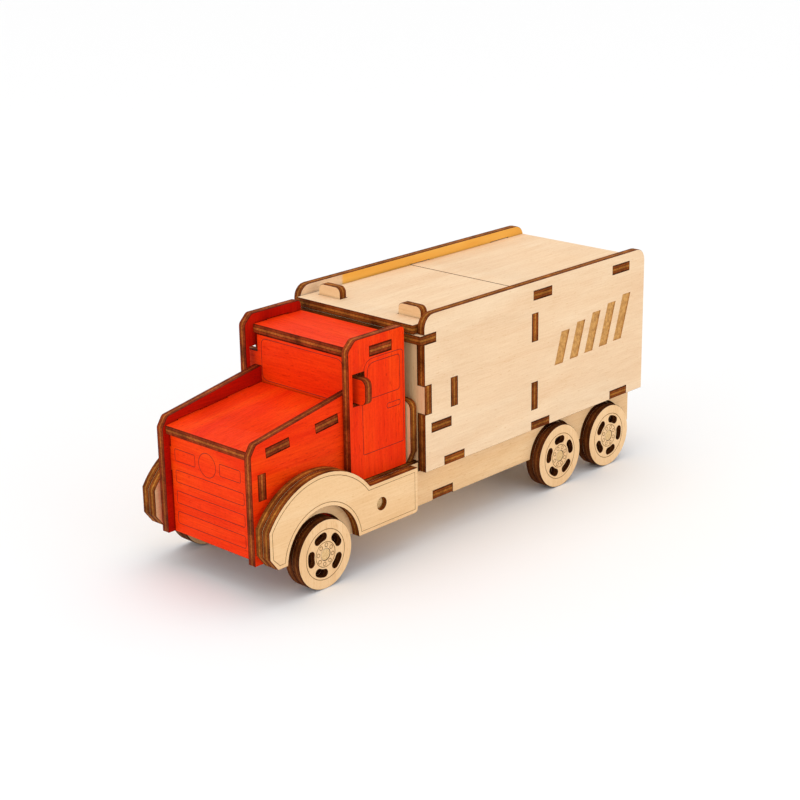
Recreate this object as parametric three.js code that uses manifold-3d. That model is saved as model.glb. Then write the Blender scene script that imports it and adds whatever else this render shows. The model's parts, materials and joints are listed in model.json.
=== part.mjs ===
// Laser-cut plywood model truck: a box body with a lift-out roof lid, a red cab and three axles.
//
// Units are millimetres. +X runs to the rear, +Y to the truck's right, +Z up.
// The truck is laid out with X = 0 at the front edge of the box's side panels and Z = 0 on the
// ground. The last lines move the origin to the middle of the length, still on the ground.
//
// Every flat piece is cut from the same sheet. Pieces lock together with tenons: short tabs on
// one piece that pass through slots or notches in its neighbour and end flush with its face.

import * as THREE from 'three';
import { mergeVertices } from 'three/addons/utils/BufferGeometryUtils.js';
import Module from 'manifold-3d';

const wasm = await Module();
wasm.setup();

// ---------- sheet, dowel and clearances ----------
const PLY = 3; // sheet thickness
const DOWEL_R = 2; // axles and the tie dowel
const FIT = 0.15; // all round a tenon or a dowel in its slot or hole
const GAP = 0.2; // between pieces that meet face to face
const RUN = 0.09; // round a turning axle in its bearing hole
const TAB = 9.6; // width of a tenon

// ---------- wheels and chassis ----------
const WHEEL_R = 11.5;
const WHEEL_PROUD = 0.45; // wheel's outer face beyond the box's side
const WHEEL_CLEARANCE = 0.8; // wheel rim to the arch cut in the chassis side
const DISC_GAP = 0.1; // between the two discs of one wheel
const SPOKE_HOLES = 5;
const SPOKE_HOLE_RING_R = 6.2;
const SPOKE_HOLE_HALF_WIDTH = 1.35;
const SPOKE_HOLE_HALF_ANGLE = 25; // degrees
const FRONT_AXLE_X = -46.9;
const REAR_AXLE_INSET = 20; // rear axle ahead of the box's rear edge
const TANDEM_GAP = 5.5; // middle wheel's rim to rear wheel's rim
const AXLE_BELOW_CHASSIS = 1; // axle centre below the chassis sides' bottom edge
const ARCH_COVER = 1; // wood left over the wheel arches in the chassis sides
const CHASSIS_REAR_INSET = 3.7;
const BEARING_LOBE_R = 5.5;

// ---------- fenders ----------
const FENDER_CLEARANCE = 4; // wheel rim to the opening in the fender
const FENDER_WIDTH = 11.1; // from that opening to the fender's outer edge
const FENDER_REACH = 22.7; // the fender's front edge ahead of the front axle
const FENDER_TIP_RISE = 4.1; // height of the chamfer under the fender's front edge
const FENDER_TIP_RUN = 3.1;
const TIE_DOWEL_X = -20.9;
const TIE_DOWEL_DROP = 7.5; // tie dowel below the running board's top edge
const TIE_DOWEL_RECESS = 1.5; // dowel end inside the fender's outer face

// ---------- box ----------
const BOX_LENGTH = 118.2;
const BOX_WIDTH = 60;
const BOX_HEIGHT = 53.2; // of the side panels
const BOX_CORNER_R = 4.5;
const ROOF_DROP = 3.4; // roof surface below the side panels' top edge
const CHAMBER_DEPTH = 9.7; // front wall to chamber wall
const SHELF_RISE = 13.2; // underside of the chamber shelf above the box's bottom edge
const MID_WALL_X = 54.3; // front face
const LID_LEDGE = 0.55; // how far the lid rests on the middle wall
const LID_OVERHANG = 1.8; // ahead of the side panels
const LID_SIDE_PLAY = 0.3;
const TIE_BAR_DEPTH = 5.4; // behind the side panels' front edge
const GRIP_INSET = 3.5; // outer end of a finger grip from the panel's inner face
const GRIP_WIDTH = 10.1;
const GRIP_RISE = 3.9; // above the lid
const KEY_PLATE_DROP = 18.6; // below the lid
const REAR_WALL_INSET = 0.4;

// ---------- cab ----------
const CAB_INSET = 4.8; // cab's side inside the box's side
const CAB_FRONT_X = -29.7;
const CAB_REAR_X = -4.2;
const CAB_TOP_RISE = 50.2; // above the box's bottom edge
const CAB_ROOF_DROP = 3.5; // roof surface below the cab sides' top edge
const CAB_CORNER = 3.2; // chamfer at the cab side's top front corner
const WINDSHIELD_INSET = 3.8; // behind the cab sides' front edge
const MIRROR_REACH = 3.5; // mirror beyond the cab side
const MIRROR_LOW = 29.1; // above the box's bottom edge
const MIRROR_HEIGHT = 8.5;
const MIRROR_SLOT_FRONT = 2; // slot ahead of the windshield's front face
const MIRROR_SLOT_PLAY = 0.3; // below the mirror
const MIRROR_SLOT_HEADROOM = 1.6; // above the mirror
const WINDSHIELD_NECK = 1.2; // how much narrower the plate is above the mirrors
const BULKHEAD_RISE = 24.7; // top above the box's bottom edge

// ---------- hood ----------
const HOOD_FRONT_X = -68.6;
const HOOD_BASE_Z_ABOVE_AXLE = 0.4;
const HOOD_SIDE_FRONT_RISE = 25.8; // top front corner above the box's bottom edge
const HOOD_SIDE_SLOPE = 10.1; // degrees
const HOOD_CORNER_X = 2.2;
const HOOD_CORNER_Z = 3.4;
const HOOD_TOP_RISE = 23.2; // front edge of the sloping top above the box's bottom edge
const HOOD_TOP_SLOPE = 6; // degrees
const HOOD_TOP_INSET = 0.9; // behind the hood sides' front edge
const HOOD_TABS = [6.1, 27.1]; // start of each tenon behind the hood sides' front edge
const GRILLE_INSET = 2.6; // behind the hood sides' front edge
const GRILLE_TAB_LOW = 20.8; // above the grille's bottom edge
const GRILLE_TAB_HEIGHT = 8.3;

// ---------- values worked out from the dimensions above ----------
const AXLE_Z = WHEEL_R;
const CHASSIS_Z = AXLE_Z + AXLE_BELOW_CHASSIS;
const ARCH_R = WHEEL_R + WHEEL_CLEARANCE;
const BOX_Z = AXLE_Z + ARCH_R + ARCH_COVER + GAP;
const FLOOR_TOP = BOX_Z + PLY;
const BOARD_Z = FLOOR_TOP; // the running boards are level with the top of the box's floor
const REAR_AXLE_X = BOX_LENGTH - REAR_AXLE_INSET;
const MIDDLE_AXLE_X = REAR_AXLE_X - 2 * WHEEL_R - TANDEM_GAP;
const FENDER_ARCH_R = WHEEL_R + FENDER_CLEARANCE;
const FENDER_R = FENDER_ARCH_R + FENDER_WIDTH;
const FENDER_FRONT_X = FRONT_AXLE_X - FENDER_REACH;

const BOX_FACE = BOX_WIDTH / 2;
const BOX_INNER = BOX_FACE - PLY;
const CHASSIS_FACE = BOX_INNER - GAP;
const CHASSIS_INNER = CHASSIS_FACE - PLY;
const BEARING_FACE = CHASSIS_INNER - GAP;
const WHEEL_FACE = BOX_FACE + WHEEL_PROUD;
const CAB_FACE = BOX_FACE - CAB_INSET;
const CAB_INNER = CAB_FACE - PLY;
const HOOD_FACE = CAB_INNER - GAP;
const HOOD_INNER = HOOD_FACE - PLY;

const ROOF_TOP = BOX_Z + BOX_HEIGHT - ROOF_DROP;
const ROOF_UNDER = ROOF_TOP - PLY;
const TIE_BAR_Z = ROOF_UNDER - GAP - PLY;
const CHAMBER_WALL_X = PLY + CHAMBER_DEPTH;
const SHELF_Z = BOX_Z + SHELF_RISE;
const SEAM_X = MID_WALL_X + LID_LEDGE + GAP;
const FRONT_TAB_Z = BOX_Z + 19.9;
const CHAMBER_TAB_Z = BOX_Z + 19.7;
const MID_TABS_Z = [BOX_Z + 7.6, BOX_Z + 32.2];
const FLOOR_TABS_X = [9.3, MID_WALL_X, BOX_LENGTH - 19.1];
const ROOF_TABS_X = [SEAM_X, BOX_LENGTH - 18.9];
const CHASSIS_TABS_X = [-18, 6.9];
const KEY_PLATE_X = TIE_BAR_DEPTH + GAP;
const TIE_DOWEL_Z = BOARD_Z - TIE_DOWEL_DROP;

const CAB_Z = BOARD_Z + GAP;
const CAB_TOP = BOX_Z + CAB_TOP_RISE;
const CAB_ROOF_TOP = CAB_TOP - CAB_ROOF_DROP;
const CAB_ROOF_TAB_X = CAB_REAR_X - 15.8;
const WINDSHIELD_X = CAB_FRONT_X + WINDSHIELD_INSET;
const MIRROR_Z = BOX_Z + MIRROR_LOW;
const HOOD_REAR_X = WINDSHIELD_X - GAP;
const HOOD_Z = AXLE_Z + HOOD_BASE_Z_ABOVE_AXLE;
const GRILLE_X = HOOD_FRONT_X + GRILLE_INSET;

const SIDES = { left: -1, right: 1 };

// ---------- materials ----------
const birch = new THREE.MeshStandardMaterial({ color: 0xf0d2a6, roughness: 0.72, metalness: 0 });
const redStain = new THREE.MeshStandardMaterial({ color: 0xe8360c, roughness: 0.58, metalness: 0 });
const dowelWood = new THREE.MeshStandardMaterial({ color: 0xe3c48f, roughness: 0.65, metalness: 0 });

// ---------- outlines ----------
function v(x, y) {
  return new THREE.Vector2(x, y);
}

// Points along an arc, from one angle to another in degrees, both ends included.
function arc(x, y, radius, from, to, steps) {
  return Array.from({ length: steps + 1 }, (_, i) => {
    const angle = THREE.MathUtils.degToRad(from + ((to - from) * i) / steps);
    return v(x + radius * Math.cos(angle), y + radius * Math.sin(angle));
  });
}

function circle(x, y, radius, steps) {
  return arc(x, y, radius, 0, 360, steps).slice(0, -1);
}

function rectangle(x0, y0, x1, y1) {
  return [v(x0, y0), v(x1, y0), v(x1, y1), v(x0, y1)];
}

// A corner at b, on the way from a to c, rounded to a radius.
function roundCorner(a, b, c, radius, steps = 5) {
  const back = a.clone().sub(b).normalize();
  const ahead = c.clone().sub(b).normalize();
  const half = Math.acos(THREE.MathUtils.clamp(back.dot(ahead), -1, 1)) / 2;
  const centre = back.clone().add(ahead).normalize().multiplyScalar(radius / Math.sin(half)).add(b);
  const start = back.clone().multiplyScalar(radius / Math.tan(half)).add(b).sub(centre);
  const end = ahead.clone().multiplyScalar(radius / Math.tan(half)).add(b).sub(centre);
  const turn = Math.atan2(start.cross(end), start.dot(end));
  return Array.from({ length: steps + 1 }, (_, i) => {
    return start.clone().rotateAround(v(0, 0), (turn * i) / steps).add(centre);
  });
}

// An outline whose corners are rounded: each entry is [point, radius].
function softened(corners) {
  return corners.flatMap(([point, radius], i) => {
    const before = corners[(i + corners.length - 1) % corners.length][0];
    const after = corners[(i + 1) % corners.length][0];
    return radius > 0 ? roundCorner(before, point, after, radius) : [point];
  });
}

// A plate from a0 to a1 with tenons on its two long edges, as [a, b] outline points:
// the body is half wide each way, and each tenon, given by its start and end, reaches further.
function tenonOutline(a0, a1, half, reach, tenons) {
  const edge = (side, spans) => spans.flatMap(([s, e]) => [
    v(s, side * half),
    v(s, side * reach),
    v(e, side * reach),
    v(e, side * half),
  ]);
  const backwards = [...tenons].reverse().map(([s, e]) => [e, s]);
  return [
    v(a0, -half),
    ...edge(-1, tenons),
    v(a1, -half),
    v(a1, half),
    ...edge(1, backwards),
    v(a0, half),
  ];
}

// An outline without repeated points and without points in the middle of a straight edge.
function onlyCorners(points) {
  const neighbour = (list, i, step) => list[(i + list.length + step) % list.length];
  const distinct = points.filter((p, i) => p.distanceTo(neighbour(points, i, -1)) > 1e-6);
  return distinct.filter((p, i) => {
    const arriving = p.clone().sub(neighbour(distinct, i, -1));
    const leaving = neighbour(distinct, i, 1).clone().sub(p);
    return Math.abs(arriving.cross(leaving)) > 1e-6;
  });
}

function swapAxes(points) {
  return points.map((p) => v(p.y, p.x));
}

// The slot for a tenon whose section runs from x0, y0 to x1, y1.
function slot(x0, y0, x1, y1) {
  return rectangle(x0 - FIT, y0 - FIT, x1 + FIT, y1 + FIT);
}

// ---------- plates ----------
function extrude(outline, depth) {
  const shape = new THREE.Shape(onlyCorners(outline));
  return new THREE.ExtrudeGeometry(shape, { depth, bevelEnabled: false });
}

function toSolid(geometry) {
  geometry.deleteAttribute('normal');
  geometry.deleteAttribute('uv');
  const merged = mergeVertices(geometry);
  const vertProperties = new Float32Array(merged.attributes.position.array);
  const triVerts = new Uint32Array(merged.index.array);
  return new wasm.Manifold(new wasm.Mesh({ numProp: 3, vertProperties, triVerts }));
}

function toGeometry(solid) {
  const mesh = solid.getMesh();
  const geometry = new THREE.BufferGeometry();
  geometry.setAttribute('position', new THREE.BufferAttribute(mesh.vertProperties, 3));
  geometry.setIndex(new THREE.BufferAttribute(mesh.triVerts, 1));
  geometry.computeVertexNormals();
  return geometry;
}

// A flat piece cut from the sheet: its outline, with each hole cut right through.
function cutPlate(outline, holes, depth) {
  const plate = extrude(outline, depth);
  if (holes.length === 0) {
    return plate;
  }
  const overshoot = 1;
  const cutters = holes.map((hole) => {
    return toSolid(extrude(hole, depth + 2 * overshoot).translate(0, 0, -overshoot));
  });
  return toGeometry(cutters.reduce((solid, cutter) => solid.subtract(cutter), toSolid(plate)));
}

// A plate that stands lengthways: the outline is in X and Z, and y is its lower Y face.
function sidePlate(name, outline, holes, y, material, depth = PLY) {
  const mesh = new THREE.Mesh(cutPlate(outline, holes, depth), material);
  mesh.name = name;
  mesh.rotation.x = Math.PI / 2;
  mesh.position.y = y + depth;
  return mesh;
}

// A plate that stands across the truck: the outline is in Y and Z, and x is its front face.
function crossPlate(name, outline, holes, x, material) {
  const mesh = new THREE.Mesh(cutPlate(outline, holes, PLY), material);
  mesh.name = name;
  mesh.rotation.set(Math.PI / 2, 0, Math.PI / 2, 'ZYX');
  mesh.position.x = x;
  return mesh;
}

// A level plate: the outline is in X and Y, and z is its underside.
function levelPlate(name, outline, holes, z, material) {
  const mesh = new THREE.Mesh(cutPlate(outline, holes, PLY), material);
  mesh.name = name;
  mesh.position.z = z;
  return mesh;
}

// The same plate on both sides of the truck, with its outer face at the given distance.
function pairOfSides(name, outline, holes, face, material) {
  return Object.entries(SIDES).map(([side, sign]) => {
    const y = sign < 0 ? -face : face - PLY;
    return sidePlate(`${name}_${side}`, outline, holes, y, material);
  });
}

// ---------- fenders and chassis ----------
// Where the fender's outer arc stands at a given height or a given distance along.
function fenderArcX(z, radius = FENDER_R) {
  return FRONT_AXLE_X + Math.sqrt(radius ** 2 - (z - AXLE_Z) ** 2);
}

function arcAngle(x, z) {
  return THREE.MathUtils.radToDeg(Math.atan2(z - AXLE_Z, x - FRONT_AXLE_X));
}

// The fender's arc from the running board over the wheel and down to its front edge.
function fenderTop() {
  const front = Math.sqrt(FENDER_R ** 2 - (FENDER_FRONT_X - FRONT_AXLE_X) ** 2) + AXLE_Z;
  const from = arcAngle(fenderArcX(BOARD_Z), BOARD_Z);
  const to = arcAngle(FENDER_FRONT_X, front);
  return arc(FRONT_AXLE_X, AXLE_Z, FENDER_R, from, to, 22);
}

function fenderTip() {
  return [
    v(FENDER_FRONT_X, CHASSIS_Z + FENDER_TIP_RISE),
    v(FENDER_FRONT_X + FENDER_TIP_RUN, CHASSIS_Z),
  ];
}

// An arch in a bottom edge at the chassis height, walked towards the rear.
function arch(x, radius) {
  const rise = THREE.MathUtils.radToDeg(Math.asin(AXLE_BELOW_CHASSIS / radius));
  return arc(x, AXLE_Z, radius, 180 - rise, rise, 24);
}

function notchUp(x0, x1, z, height) {
  return [v(x0, z), v(x0, z + height), v(x1, z + height), v(x1, z)];
}

function fenders() {
  const rear = CAB_REAR_X + GAP;
  const outline = [
    ...fenderTip(),
    ...arch(FRONT_AXLE_X, FENDER_ARCH_R),
    ...roundCorner(v(FRONT_AXLE_X, CHASSIS_Z), v(rear, CHASSIS_Z), v(rear, BOARD_Z), 1.5),
    v(rear, BOARD_Z),
    ...fenderTop(),
  ];
  const dowelHole = circle(TIE_DOWEL_X, TIE_DOWEL_Z, DOWEL_R + FIT, 20);
  return pairOfSides('fender', outline, [dowelHole], BOX_FACE, birch);
}

function chassisSides() {
  const rear = BOX_LENGTH - CHASSIS_REAR_INSET;
  const [frontTab, rearTab] = CHASSIS_TABS_X;
  const tabNotch = (x) => notchUp(x - FIT, x + TAB + FIT, CHASSIS_Z, GAP + PLY + FIT);
  const outline = [
    ...fenderTip(),
    ...arch(FRONT_AXLE_X, ARCH_R),
    ...tabNotch(frontTab),
    ...tabNotch(rearTab),
    ...arch(MIDDLE_AXLE_X, ARCH_R),
    ...arch(REAR_AXLE_X, ARCH_R),
    v(rear, CHASSIS_Z),
    v(rear, BOX_Z - GAP),
    v(-GAP, BOX_Z - GAP),
    v(-GAP, BOARD_Z),
    ...fenderTop(),
  ];
  const dowelHole = circle(TIE_DOWEL_X, TIE_DOWEL_Z, DOWEL_R + FIT, 20);
  return pairOfSides('chassis_side', outline, [dowelHole], CHASSIS_FACE, birch);
}

function chassisFloor() {
  const front = CHASSIS_TABS_X[0] - 4;
  const rear = MID_WALL_X;
  const tenons = CHASSIS_TABS_X.map((x) => [x, x + TAB]);
  const outline = tenonOutline(front, rear, CHASSIS_INNER - GAP, CHASSIS_FACE, tenons);
  return levelPlate('chassis_floor', outline, [], CHASSIS_Z + GAP, birch);
}

// A round lobe that hangs below a bottom edge at height z, walked towards the rear.
function lobe(x, z) {
  const rise = THREE.MathUtils.radToDeg(Math.asin((z - AXLE_Z) / BEARING_LOBE_R));
  return arc(x, AXLE_Z, BEARING_LOBE_R, 180 - rise, 360 + rise, 16);
}

function bearingHole(x) {
  return circle(x, AXLE_Z, DOWEL_R + RUN, 24);
}

// The plates behind the rear part of the chassis sides, which carry the middle and rear axles.
function bearingPlates() {
  const base = CHASSIS_Z + PLY;
  const front = MID_WALL_X + PLY;
  const rear = BOX_LENGTH - CHASSIS_REAR_INSET;
  const outline = [
    v(front, base),
    ...lobe(MIDDLE_AXLE_X, base),
    ...lobe(REAR_AXLE_X, base),
    v(rear, base),
    v(rear, BOX_Z - GAP),
    v(front, BOX_Z - GAP),
  ];
  const holes = [bearingHole(MIDDLE_AXLE_X), bearingHole(REAR_AXLE_X)];
  return pairOfSides('bearing_plate', outline, holes, BEARING_FACE, birch);
}

// ---------- box ----------
function boxSides() {
  const top = BOX_Z + BOX_HEIGHT;
  const bottomNotches = FLOOR_TABS_X.flatMap((x) => {
    return notchUp(x - FIT, x + TAB + FIT, BOX_Z, PLY + FIT);
  });
  const frontNotch = (z0, z1, depth) => [
    v(0, z1 + FIT),
    v(depth + FIT, z1 + FIT),
    v(depth + FIT, z0 - FIT),
    v(0, z0 - FIT),
  ];
  const outline = [
    v(0, BOX_Z),
    ...bottomNotches,
    v(BOX_LENGTH, BOX_Z),
    ...roundCorner(v(BOX_LENGTH, BOX_Z), v(BOX_LENGTH, top), v(0, top), BOX_CORNER_R),
    ...roundCorner(v(BOX_LENGTH, top), v(0, top), v(0, BOX_Z), BOX_CORNER_R),
    ...frontNotch(TIE_BAR_Z, TIE_BAR_Z + PLY, TIE_BAR_DEPTH),
    ...frontNotch(FRONT_TAB_Z, FRONT_TAB_Z + TAB, PLY),
  ];
  const holes = [
    ...ROOF_TABS_X.map((x) => slot(x, ROOF_UNDER, x + TAB, ROOF_TOP)),
    ...MID_TABS_Z.map((z) => slot(MID_WALL_X, z, MID_WALL_X + PLY, z + TAB)),
    slot(CHAMBER_WALL_X, CHAMBER_TAB_Z, CHAMBER_WALL_X + PLY, CHAMBER_TAB_Z + TAB),
    slot(PLY + GAP, SHELF_Z, CHAMBER_WALL_X - GAP, SHELF_Z + PLY),
  ];
  return pairOfSides('box_side', outline, holes, BOX_FACE, birch);
}

// A wall across the box with tenons in the side panels, given by the height of each tenon.
function boxWall(name, x, low, high, tabs) {
  const tenons = tabs.map((z) => [z, z + TAB]);
  const outline = tenonOutline(low, high, BOX_INNER - GAP, BOX_FACE, tenons);
  return crossPlate(name, swapAxes(outline), [], x, birch);
}

function boxWalls() {
  const standing = FLOOR_TOP + GAP;
  const underRoof = ROOF_UNDER - GAP;
  return [
    boxWall('box_front_wall', 0, standing, TIE_BAR_Z - GAP, [FRONT_TAB_Z]),
    boxWall('chamber_wall', CHAMBER_WALL_X, standing, underRoof, [CHAMBER_TAB_Z]),
    boxWall('middle_wall', MID_WALL_X, standing, underRoof, MID_TABS_Z),
    boxWall('box_rear_wall', BOX_LENGTH - REAR_WALL_INSET - PLY, BOX_Z + GAP, underRoof, []),
  ];
}

function boxLevels() {
  const half = BOX_INNER - GAP;
  const floorEnd = BOX_LENGTH - REAR_WALL_INSET - PLY - GAP;
  const floorTenons = FLOOR_TABS_X.map((x) => [x, x + TAB]);
  const floorOutline = tenonOutline(GAP, floorEnd, half, BOX_FACE, floorTenons);
  const shelfEnds = [PLY + GAP, CHAMBER_WALL_X - GAP];
  const shelfOutline = rectangle(shelfEnds[0], -BOX_FACE, shelfEnds[1], BOX_FACE);
  const roofEnd = BOX_LENGTH - REAR_WALL_INSET;
  const roofTenons = ROOF_TABS_X.map((x) => [x, x + TAB]);
  const roofOutline = tenonOutline(SEAM_X, roofEnd, half, BOX_FACE, roofTenons);
  const barOutline = rectangle(-LID_OVERHANG, -BOX_FACE, TIE_BAR_DEPTH, BOX_FACE);
  return [
    levelPlate('box_floor', floorOutline, [], BOX_Z, birch),
    levelPlate('chamber_shelf', shelfOutline, [], SHELF_Z, birch),
    levelPlate('rear_roof', roofOutline, [], ROOF_UNDER, birch),
    levelPlate('front_tie_bar', barOutline, [], TIE_BAR_Z, birch),
  ];
}

// ---------- lid ----------
// The lid lifts straight out. A key plate hangs from it into the front chamber, and two finger
// grips on the key plate stand up through slots in the lid.
function lidPieces() {
  const half = BOX_INNER - LID_SIDE_PLAY;
  const gripOuter = BOX_INNER - GRIP_INSET;
  const gripInner = gripOuter - GRIP_WIDTH;
  const lidOutline = rectangle(-LID_OVERHANG, -half, SEAM_X - GAP, half);
  const gripSlots = Object.values(SIDES).map((sign) => {
    const [low, high] = [sign * gripInner, sign * gripOuter].sort((a, b) => a - b);
    return slot(KEY_PLATE_X, low, KEY_PLATE_X + PLY, high);
  });

  const shoulder = ROOF_UNDER - GAP;
  const top = ROOF_TOP + GRIP_RISE;
  const gripRound = 2;
  const keyOutline = softened([
    [v(-half, shoulder - KEY_PLATE_DROP), gripRound],
    [v(half, shoulder - KEY_PLATE_DROP), gripRound],
    [v(half, shoulder), 0],
    [v(gripOuter, shoulder), 0],
    [v(gripOuter, top), gripRound],
    [v(gripInner, top), gripRound],
    [v(gripInner, shoulder), 0],
    [v(-gripInner, shoulder), 0],
    [v(-gripInner, top), gripRound],
    [v(-gripOuter, top), gripRound],
    [v(-gripOuter, shoulder), 0],
    [v(-half, shoulder), 0],
  ]);
  return [
    levelPlate('roof_lid', lidOutline, gripSlots, ROOF_UNDER, birch),
    crossPlate('lid_key_plate', keyOutline, [], KEY_PLATE_X, birch),
  ];
}

// ---------- cab ----------
function cabSides() {
  const clearR = FENDER_R + GAP;
  const low = arcAngle(fenderArcX(CAB_Z, clearR), CAB_Z);
  const frontZ = AXLE_Z + Math.sqrt(clearR ** 2 - (CAB_FRONT_X - FRONT_AXLE_X) ** 2);
  const high = arcAngle(CAB_FRONT_X, frontZ);
  const chamferLow = v(CAB_FRONT_X, CAB_TOP - CAB_CORNER);
  const chamferHigh = v(CAB_FRONT_X + CAB_CORNER, CAB_TOP);
  const rearTop = v(CAB_REAR_X, CAB_TOP);
  const outline = [
    v(CAB_REAR_X, CAB_Z),
    ...roundCorner(v(CAB_REAR_X, CAB_Z), rearTop, chamferHigh, 1.5, 3),
    ...roundCorner(rearTop, chamferHigh, chamferLow, 2, 3),
    ...roundCorner(chamferHigh, chamferLow, v(CAB_FRONT_X, CAB_Z), 2, 3),
    ...arc(FRONT_AXLE_X, AXLE_Z, clearR, high, low, 4),
  ];
  const mirrorSlot = rectangle(
    WINDSHIELD_X - MIRROR_SLOT_FRONT,
    MIRROR_Z - MIRROR_SLOT_PLAY,
    WINDSHIELD_X + PLY + FIT,
    MIRROR_Z + MIRROR_HEIGHT + MIRROR_SLOT_HEADROOM,
  );
  const roofSlot = slot(CAB_ROOF_TAB_X, CAB_ROOF_TOP - PLY, CAB_ROOF_TAB_X + TAB, CAB_ROOF_TOP);
  return pairOfSides('cab_side', outline, [mirrorSlot, roofSlot], CAB_FACE, redStain);
}

function cabRoof() {
  const tenons = [[CAB_ROOF_TAB_X, CAB_ROOF_TAB_X + TAB]];
  const outline = tenonOutline(WINDSHIELD_X - GAP, CAB_REAR_X - GAP, CAB_INNER - GAP, CAB_FACE, tenons);
  return levelPlate('cab_roof', outline, [], CAB_ROOF_TOP - PLY, redStain);
}

// The windshield plate passes through both cab sides, and its ends are the mirrors.
function windshield() {
  const half = CAB_INNER - GAP;
  const neck = half - WINDSHIELD_NECK;
  const reach = CAB_FACE + MIRROR_REACH;
  const low = CAB_Z + PLY + GAP;
  const high = CAB_ROOF_TOP - PLY - GAP;
  const mirrorTop = MIRROR_Z + MIRROR_HEIGHT;
  const mirrorRound = 2.2;
  const outline = softened([
    [v(-half, low), 0],
    [v(half, low), 0],
    [v(half, MIRROR_Z), 0],
    [v(reach, MIRROR_Z), mirrorRound],
    [v(reach, mirrorTop), mirrorRound],
    [v(neck, mirrorTop), 0],
    [v(neck, high), 0],
    [v(-neck, high), 0],
    [v(-neck, mirrorTop), 0],
    [v(-reach, mirrorTop), mirrorRound],
    [v(-reach, MIRROR_Z), mirrorRound],
    [v(-half, MIRROR_Z), 0],
  ]);
  return crossPlate('windshield', outline, [], WINDSHIELD_X, redStain);
}

function cabFloor() {
  const half = CAB_INNER - GAP;
  const outline = rectangle(WINDSHIELD_X, -half, CAB_REAR_X - GAP, half);
  return levelPlate('cab_floor', outline, [], CAB_Z, birch);
}

// The plate between cab and box, on the chassis sides, with cut-away lower corners.
function bulkhead() {
  const x = (CAB_REAR_X - PLY) / 2;
  const low = BOARD_Z + GAP;
  const high = BOX_Z + BULKHEAD_RISE;
  const cutAway = 4;
  const outline = softened([
    [v(-CHASSIS_FACE + cutAway / 2, low), 0],
    [v(CHASSIS_FACE - cutAway / 2, low), 0],
    [v(CHASSIS_FACE, low + cutAway), 0],
    [v(CHASSIS_FACE, high), 3],
    [v(-CHASSIS_FACE, high), 3],
    [v(-CHASSIS_FACE, low + cutAway), 0],
  ]);
  return crossPlate('bulkhead', outline, [], x, birch);
}

function tieDowel() {
  const length = BOX_WIDTH - 2 * TIE_DOWEL_RECESS;
  const mesh = new THREE.Mesh(new THREE.CylinderGeometry(DOWEL_R, DOWEL_R, length, 20), dowelWood);
  mesh.name = 'tie_dowel';
  mesh.position.set(TIE_DOWEL_X, 0, TIE_DOWEL_Z);
  return mesh;
}

// ---------- hood ----------
// Height of the sloping hood top's upper surface at a distance along the truck.
function hoodTopZ(x) {
  const start = HOOD_FRONT_X + HOOD_TOP_INSET;
  return BOX_Z + HOOD_TOP_RISE + Math.tan(THREE.MathUtils.degToRad(HOOD_TOP_SLOPE)) * (x - start);
}

// A point of the hood top's section: along the slope from its front edge, and below its surface.
function onHoodTop(along, below) {
  const slope = THREE.MathUtils.degToRad(HOOD_TOP_SLOPE);
  const start = HOOD_FRONT_X + HOOD_TOP_INSET;
  return v(
    start + along * Math.cos(slope) + below * Math.sin(slope),
    hoodTopZ(start) + along * Math.sin(slope) - below * Math.cos(slope),
  );
}

// Each hood tenon's start, measured along the slope from the hood top's front edge.
function hoodTabStarts() {
  const slope = THREE.MathUtils.degToRad(HOOD_TOP_SLOPE);
  return HOOD_TABS.map((x) => (x - HOOD_TOP_INSET) / Math.cos(slope));
}

function hoodSides() {
  const rise = Math.tan(THREE.MathUtils.degToRad(HOOD_SIDE_SLOPE));
  const cornerX = HOOD_FRONT_X + HOOD_CORNER_X;
  const cornerZ = BOX_Z + HOOD_SIDE_FRONT_RISE;
  const corner = v(cornerX, cornerZ);
  const cornerLow = v(HOOD_FRONT_X, cornerZ - HOOD_CORNER_Z);
  const topRear = v(HOOD_REAR_X, cornerZ + rise * (HOOD_REAR_X - cornerX));
  const bracketZ = CHASSIS_Z + GAP + PLY + GAP;
  const outline = [
    v(HOOD_FRONT_X, HOOD_Z),
    ...lobe(FRONT_AXLE_X, HOOD_Z),
    v(CHASSIS_TABS_X[0] - 4 - GAP, HOOD_Z),
    v(CHASSIS_TABS_X[0] - 4 - GAP, bracketZ),
    v(CAB_REAR_X - GAP, bracketZ),
    v(CAB_REAR_X - GAP, BOARD_Z),
    v(HOOD_REAR_X, BOARD_Z),
    topRear,
    ...roundCorner(topRear, corner, cornerLow, 1.5, 3),
    ...roundCorner(corner, cornerLow, v(HOOD_FRONT_X, HOOD_Z), 1.5, 3),
  ];
  const grilleTab = HOOD_Z + GRILLE_TAB_LOW;
  const holes = [
    ...hoodTabStarts().map((start) => [
      onHoodTop(start - FIT, PLY + FIT),
      onHoodTop(start + TAB + FIT, PLY + FIT),
      onHoodTop(start + TAB + FIT, -FIT),
      onHoodTop(start - FIT, -FIT),
    ]),
    slot(GRILLE_X, grilleTab, GRILLE_X + PLY, grilleTab + GRILLE_TAB_HEIGHT),
    bearingHole(FRONT_AXLE_X),
    circle(TIE_DOWEL_X, TIE_DOWEL_Z, DOWEL_R + FIT, 20),
  ];
  return pairOfSides('hood_side', outline, holes, HOOD_FACE, redStain);
}

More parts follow.
